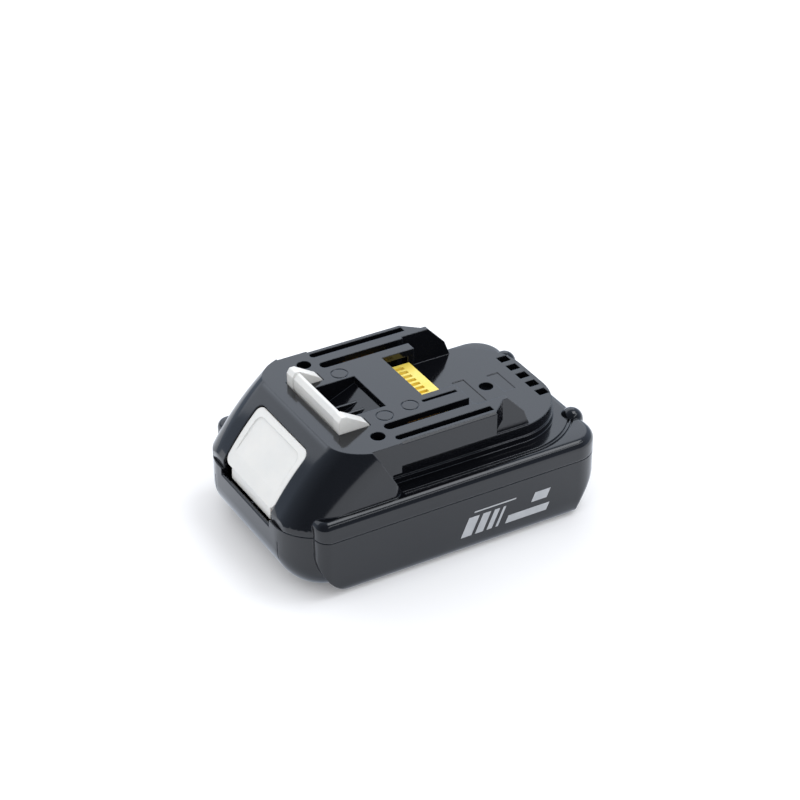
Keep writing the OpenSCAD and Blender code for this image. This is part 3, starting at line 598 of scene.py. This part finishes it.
@dataclass
class Studio:
    """Pale floor, soft light and the camera."""

    azimuth: float = -30.05
    elevation: float = 32.44
    distance: float = 0.8
    target: Point = (0.0137, 0.02385, 0.022)
    lens: float = 105.0
    floor_side: float = 6.0
    floor_glow: tuple[float, float] = (0.12, 0.45)
    soft_light: float = 0.87
    dark_side: Point = (-0.42, -0.73, 0.54)
    dark_light: float = 0.24
    mirrored_tint: str = "#cfe0f8"
    lamps: tuple[Softbox, ...] = (
        Softbox("back_softbox", (0.1, 1.1, 0.85), (2.4, 1.0), 8.5),
        Softbox("overhead_strip", (0.45, -0.1, 1.0), (0.5, 0.5), 3.0),
        Softbox("edge_strip", (0.55, -0.7, 0.95), (1.2, 0.14), 1.5),
    )

    def build(self) -> None:
        """Makes the floor, the world, the lamps and the camera."""
        self.make_floor()
        self.make_world()
        for lamp in self.lamps:
            lamp.build()
        self.make_camera()

    def seen_rays(
        self, tree: bpy.types.NodeTree
    ) -> tuple[bpy.types.NodeSocket, bpy.types.NodeSocket]:
        """Finds the rays that show the background to the eye.

        Args:
            tree: Node tree that gets the nodes.

        Returns:
            A socket that is 1 for camera rays and one that is 1 for mirrored or transmitted rays.
        """
        path = add_node(tree, "ShaderNodeLightPath").outputs
        mirrored = add_node(tree, "ShaderNodeMath", settings={"operation": "MAXIMUM"},
                            links={0: path["Is Glossy Ray"], 1: path["Is Transmission Ray"]})
        return path["Is Camera Ray"], mirrored.outputs[0]

    def seen_tint(
        self,
        tree: bpy.types.NodeTree,
        direct: bpy.types.NodeSocket,
        mirrored: bpy.types.NodeSocket,
    ) -> bpy.types.NodeSocket:
        """Gives the surround its cool colour in mirrored rays and plain white in all others.

        Args:
            tree: Node tree that gets the nodes.
            direct: Socket that is 1 for camera rays.
            mirrored: Socket that is 1 for mirrored rays.

        Returns:
            The colour.
        """
        cool = add_node(tree, "ShaderNodeMath", settings={"operation": "SUBTRACT"},
                        links={0: mirrored, 1: direct})
        tint = add_node(tree, "ShaderNodeMixRGB",
                        inputs={"Color1": linear("#ffffff"), "Color2": linear(self.mirrored_tint)},
                        links={"Fac": cool.outputs[0]})
        return tint.outputs["Color"]

    def make_floor(self) -> None:
        """Makes the pale floor, which keeps the pack's shadow."""
        mesh = bpy.data.meshes.new("floor")
        half = self.floor_side / 2
        rim = [(-half, -half, 0), (half, -half, 0), (half, half, 0), (-half, half, 0)]
        mesh.from_pydata(rim, [], [(0, 1, 2, 3)])
        floor = bpy.data.objects.new("floor", mesh)
        bpy.context.scene.collection.objects.link(floor)
        material = bpy.data.materials.new("white_paper")
        material.use_nodes = True
        tree = material.node_tree
        tree.nodes.clear()
        paper = add_node(tree, "ShaderNodeBsdfDiffuse", inputs={"Color": linear("#f2f3f6")})
        direct, mirrored = self.seen_rays(tree)
        eye = add_node(tree, "ShaderNodeMath", settings={"operation": "MULTIPLY"},
                       inputs={1: self.floor_glow[0]}, links={0: direct})
        share = add_node(tree, "ShaderNodeMath", settings={"operation": "MULTIPLY_ADD"},
                         inputs={1: self.floor_glow[1]}, links={0: mirrored, 2: eye.outputs[0]})
        glow = add_node(tree, "ShaderNodeEmission",
                        links={"Color": self.seen_tint(tree, direct, mirrored),
                               "Strength": share.outputs[0]})
        both = add_node(tree, "ShaderNodeAddShader",
                        links={0: paper.outputs["BSDF"], 1: glow.outputs["Emission"]})
        add_node(tree, "ShaderNodeOutputMaterial", links={"Surface": both.outputs["Shader"]})
        mesh.materials.append(material)

    def make_world(self) -> None:
        """Makes a white surround that is darker behind the camera, as mirrored rays see it."""
        world = bpy.data.worlds.new("white_surround")
        bpy.context.scene.world = world
        world.use_nodes = True
        tree = world.node_tree
        tree.nodes.clear()
        direct, mirrored = self.seen_rays(tree)
        aim = add_node(tree, "ShaderNodeTexCoord").outputs["Generated"]
        side = add_node(tree, "ShaderNodeVectorMath", settings={"operation": "DOT_PRODUCT"},
                        inputs={1: self.dark_side}, links={0: aim})
        wall = add_node(tree, "ShaderNodeMapRange",
                        inputs={"From Min": -0.35, "From Max": 0.85, "To Min": 1.0,
                                "To Max": self.dark_light},
                        links={"Value": side.outputs["Value"]})
        soft = add_node(tree, "ShaderNodeMapRange", inputs={"To Min": self.soft_light},
                        links={"Value": mirrored, "To Max": wall.outputs["Result"]})
        strength = add_node(tree, "ShaderNodeMapRange", inputs={"To Max": 1.0},
                            links={"Value": direct, "To Min": soft.outputs["Result"]})
        sky = add_node(tree, "ShaderNodeBackground",
                       links={"Color": self.seen_tint(tree, direct, mirrored),
                              "Strength": strength.outputs["Result"]})
        add_node(tree, "ShaderNodeOutputWorld", links={"Surface": sky.outputs["Background"]})

    def make_camera(self) -> None:
        """Sets the camera at the view of the photograph."""
        data = bpy.data.cameras.new("camera")
        data.lens = self.lens
        data.sensor_width = 36.0
        camera = bpy.data.objects.new("camera", data)
        turn, lift = math.radians(self.azimuth), math.radians(self.elevation)
        flat = Vector((math.sin(turn), -math.cos(turn), 0))
        back = flat * math.cos(lift) + Vector((0, 0, math.sin(lift)))
        camera.location = Vector(self.target) + back * self.distance
        camera.rotation_mode = "QUATERNION"
        camera.rotation_quaternion = (-back).to_track_quat("-Z", "Y")
        data.clip_start = 0.01
        data.clip_end = 20.0
        bpy.context.scene.collection.objects.link(camera)
        bpy.context.scene.camera = camera
        bpy.context.scene.view_settings.view_transform = "Standard"


@dataclass
class Innards:
    """Pieces inside the case that keep their solids and get a finish."""

    finishes: tuple[tuple[Finish, tuple[str, ...]], ...] = (
        (CELL_FILM, tuple(f"cell_{i}" for i in range(1, 6))),
        (HOLDER_NYLON, ("cell_holder",)),
        (NICKEL_STRIP, ("strip_negative", "strip_1_2", "strip_2_3", "strip_3_4", "strip_4_5",
                        "strip_positive")),
        (FIBRE_SHEET, ("insulator_left", "insulator_right")),
        (PAD_FOAM, ("base_pads",)),
        (BOARD_LAMINATE, ("circuit_board",)),
        (CHIP_RESIN, ("board_parts", "thermistor")),
        (TIN_BRONZE, ("signal_contacts", "contact_positive", "contact_negative")),
        (ZINC_STEEL, ("case_screws",)),
        (CASE_NYLON, ("screw_plug",)),
    )

    def build(self) -> None:
        """Dresses each piece."""
        for finish, names in self.finishes:
            for name in names:
                dress_node(name, finish)


def corners(box: Iterable[Vector]) -> list[list[float]]:
    """Turns a box into plain lists of numbers."""
    return [[float(v) for v in corner] for corner in box]


def main() -> None:
    logging.basicConfig(level=logging.INFO, format="%(message)s")
    Studio().build()
    Moulding("lower_case", "lower_case_moulding", CASE_NYLON, Body.PACK, Slot.CASE,
             corners=(FRONT_CORNERS, REAR_CORNERS)).build()
    Moulding("upper_case", "upper_case_moulding", CASE_NYLON, Body.PACK, Slot.CASE).build()
    Moulding("latch", "latch_moulding", LATCH_ACETAL, Body.LATCH, Slot.LATCH, edge_mm=0.25,
             steps=3).build()
    Moulding("terminal_block", "terminal_comb", TERMINAL_POLYESTER, Body.PACK, Slot.TERMINAL,
             edge_mm=0.12, join_planes=False).build()
    LatchSprings().build()
    SideBars().build()
    Innards().build()


if __name__ == "__main__":
    main()
